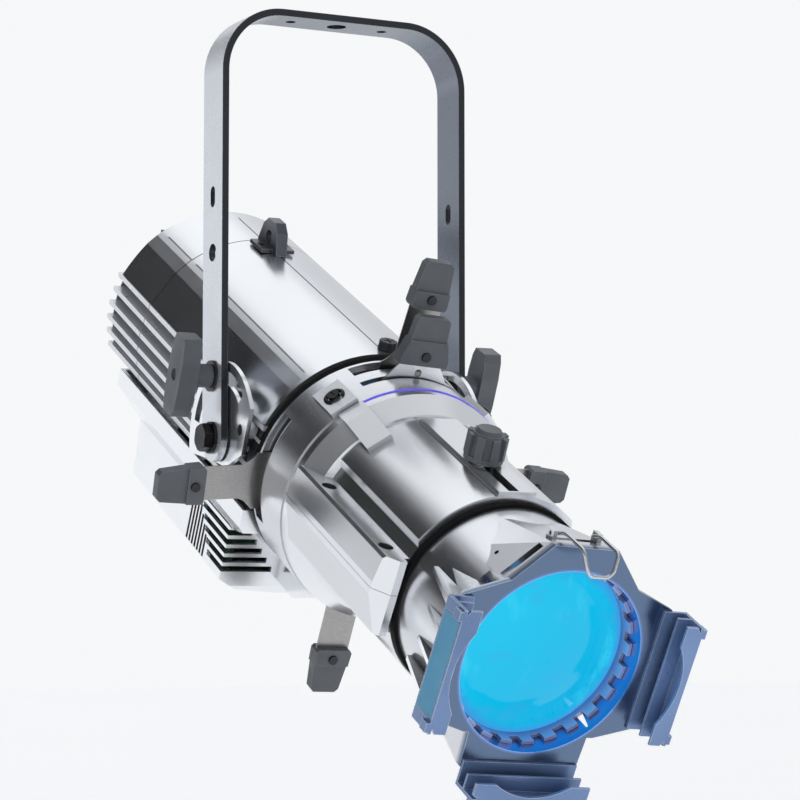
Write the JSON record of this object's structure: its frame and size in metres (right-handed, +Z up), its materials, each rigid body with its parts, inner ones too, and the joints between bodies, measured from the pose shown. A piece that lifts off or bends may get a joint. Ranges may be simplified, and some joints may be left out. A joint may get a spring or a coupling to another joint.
{
  "type": "ellipsoidal spotlight",
  "caption": "Ellipsoidal stage spotlight: finned LED housing in a flat-bar yoke, framing shutters, focusing lens barrel and a colour-frame holder at the front.",
  "frame": {"origin": "centre of the hanging hole, on the top face of the yoke", "axes": "+Z up along the hanging hole, the beam leaves towards -Y and downwards, +X to the right as seen by someone standing in front of the lens and facing it"},
  "size_m": [0.3033, 0.5799, 0.5285],
  "materials": {
    "housing": "die cast, satin silver-white powder coat",
    "cast": "die cast, satin silver-white powder coat",
    "yoke": "satin silver-grey paint",
    "grip": "moulded slate grey",
    "blade": "brushed stainless steel",
    "black_steel": "black oxide",
    "zinc": "zinc plated",
    "black_rubber": "black",
    "aluminium": "satin",
    "dark_metal": "black paint",
    "circuit": "solder mask",
    "led_white": "white solder mask with emitters",
    "reflector": "bright inside",
    "clear_glass": "clear",
    "front_glass": "coated, lit cyan",
    "fan_black": "black",
    "panel": "black",
    "display": "dark window",
    "button": "grey",
    "socket_blue": "blue",
    "front_frame": "satin slate-blue paint",
    "label": "blank light blue label"
  },
  "bodies": {
    "yoke": {"yoke_bar": "yoke", "clamp_nuts": "zinc"},
    "housing": {"front_cowl": "housing", "rear_cap": "housing", "fin_panel_left": "cast", "fin_panel_right": "cast", "lower_housing": "housing", "safety_eyelet": "cast", "quadrant_plates": "housing", "pivot_bolts": "black_steel", "pivot_washers": "black_steel", "heat_sink": "aluminium", "led_board": "led_white", "mixing_tube": "reflector", "collimator_lens": "clear_glass", "fan_frame": "fan_black", "power_board": "circuit", "rear_panel": "panel", "display_window": "display", "power_sockets": "socket_blue", "data_sockets": "panel", "bearing_ring": "dark_metal", "housing_screws": "black_steel", "rotation_seal": "black_rubber"},
    "fan": {"fan_rotor": "fan_black"},
    "barrel": {"shutter_cover": "cast", "gate_plates": "dark_metal", "shutter_spacers": "aluminium", "barrel_upper": "housing", "barrel_lower": "housing", "barrel_screws": "black_steel", "barrel_front_ring": "black_rubber"},
    "lens_carrier": {"lens_tube": "aluminium", "tube_front": "housing", "frame_holder": "front_frame", "front_lens": "front_glass", "rear_lens": "clear_glass", "lens_retaining_ring": "cast", "label_plate": "label"},
    "focus_knob": {"focus_knob": "grip", "focus_stud": "zinc"},
    "frame_clip": {"frame_clip": "zinc"},
    "lock_knob": {"lock_knob": "dark_metal"},
    "tee_left": {"tee_handle_left": "grip"},
    "tee_right": {"tee_handle_right": "grip"},
    "pattern_holder": {"pattern_holder": "cast", "pattern_grip": "grip"},
    "shutter_left": {"shutter_left_blade": "blade", "shutter_left_grip": "grip"},
    "shutter_right": {"shutter_right_blade": "blade", "shutter_right_grip": "grip"},
    "shutter_bottom": {"shutter_bottom_blade": "blade", "shutter_bottom_grip": "grip"},
    "shutter_top": {"shutter_top_blade": "blade", "shutter_top_grip": "grip"},
    "button_1": {"button_1": "button"},
    "button_2": {"button_2": "button"},
    "button_3": {"button_3": "button"},
    "button_4": {"button_4": "button"}
  },
  "joints": [
    {"name": "tilt", "type": "hinge", "parent": "yoke", "child": "housing", "pos_m": [0, 0, -0.2932], "axis": [1, 0, 0], "range_deg": [-45, 63]},
    {"name": "barrel_turn", "type": "hinge", "parent": "housing", "child": "barrel", "pos_m": [0, -0.03567, -0.3113], "axis": [0, -0.8918, -0.4524], "range_deg": [-21, 29]},
    {"name": "focus_slide", "type": "slide", "parent": "barrel", "child": "lens_carrier", "axis": [0, -0.8918, -0.4524], "range_m": [0, 0.04]},
    {"name": "focus_knob_turn", "type": "hinge", "parent": "lens_carrier", "child": "focus_knob", "pos_m": [0, -0.21099, -0.31053], "axis": [0, -0.4524, 0.8918], "continuous": true},
    {"name": "frame_clip_swing", "type": "hinge", "parent": "lens_carrier", "child": "frame_clip", "pos_m": [0.00527, -0.30969, -0.36575], "axis": [-0.9976, -0.0316, 0.0622], "range_deg": [0, 95]},
    {"name": "lock_knob_turn", "type": "hinge", "parent": "housing", "child": "lock_knob", "pos_m": [0.005, -0.06833, -0.23367], "axis": [0, -0.4524, 0.8918], "continuous": true},
    {"name": "tee_left_turn", "type": "hinge", "parent": "yoke", "child": "tee_left", "pos_m": [-0.1, 0, -0.2517], "axis": [1, 0, 0], "continuous": true},
    {"name": "tee_right_turn", "type": "hinge", "parent": "yoke", "child": "tee_right", "pos_m": [0.1, 0, -0.2517], "axis": [1, 0, 0], "continuous": true},
    {"name": "fan_spin", "type": "hinge", "parent": "housing", "child": "fan", "pos_m": [0, 0.2006, -0.18246], "axis": [0, -0.8918, -0.4524], "continuous": true},
    {"name": "shutter_left_slide", "type": "slide", "parent": "barrel", "child": "shutter_left", "axis": [0.9973, -0.0331, 0.0653], "range_m": [-0.0012, 0.034]},
    {"name": "shutter_right_slide", "type": "slide", "parent": "barrel", "child": "shutter_right", "axis": [-0.9997, -0.0103, 0.0202], "range_m": [-0.0012, 0.034]},
    {"name": "shutter_bottom_slide", "type": "slide", "parent": "barrel", "child": "shutter_bottom", "axis": [0.0279, -0.4523, 0.8914], "range_m": [-0.0012, 0.034]},
    {"name": "shutter_top_slide", "type": "slide", "parent": "barrel", "child": "shutter_top", "axis": [-0.0872, 0.4507, -0.8884], "range_m": [-0.0012, 0.034]},
    {"name": "pattern_slide", "type": "slide", "parent": "barrel", "child": "pattern_holder", "axis": [0.0698, -0.4513, 0.8896], "range_m": [0, 0.12]},
    {"name": "button_1_press", "type": "slide", "parent": "housing", "child": "button_1", "axis": [0, -0.8918, -0.4524], "range_m": [0, 0.0015], "stiffness_N_per_m": 300},
    {"name": "button_2_press", "type": "slide", "parent": "housing", "child": "button_2", "axis": [0, -0.8918, -0.4524], "range_m": [0, 0.0015], "stiffness_N_per_m": 300},
    {"name": "button_3_press", "type": "slide", "parent": "housing", "child": "button_3", "axis": [0, -0.8918, -0.4524], "range_m": [0, 0.0015], "stiffness_N_per_m": 300},
    {"name": "button_4_press", "type": "slide", "parent": "housing", "child": "button_4", "axis": [0, -0.8918, -0.4524], "range_m": [0, 0.0015], "stiffness_N_per_m": 300}
  ]
}
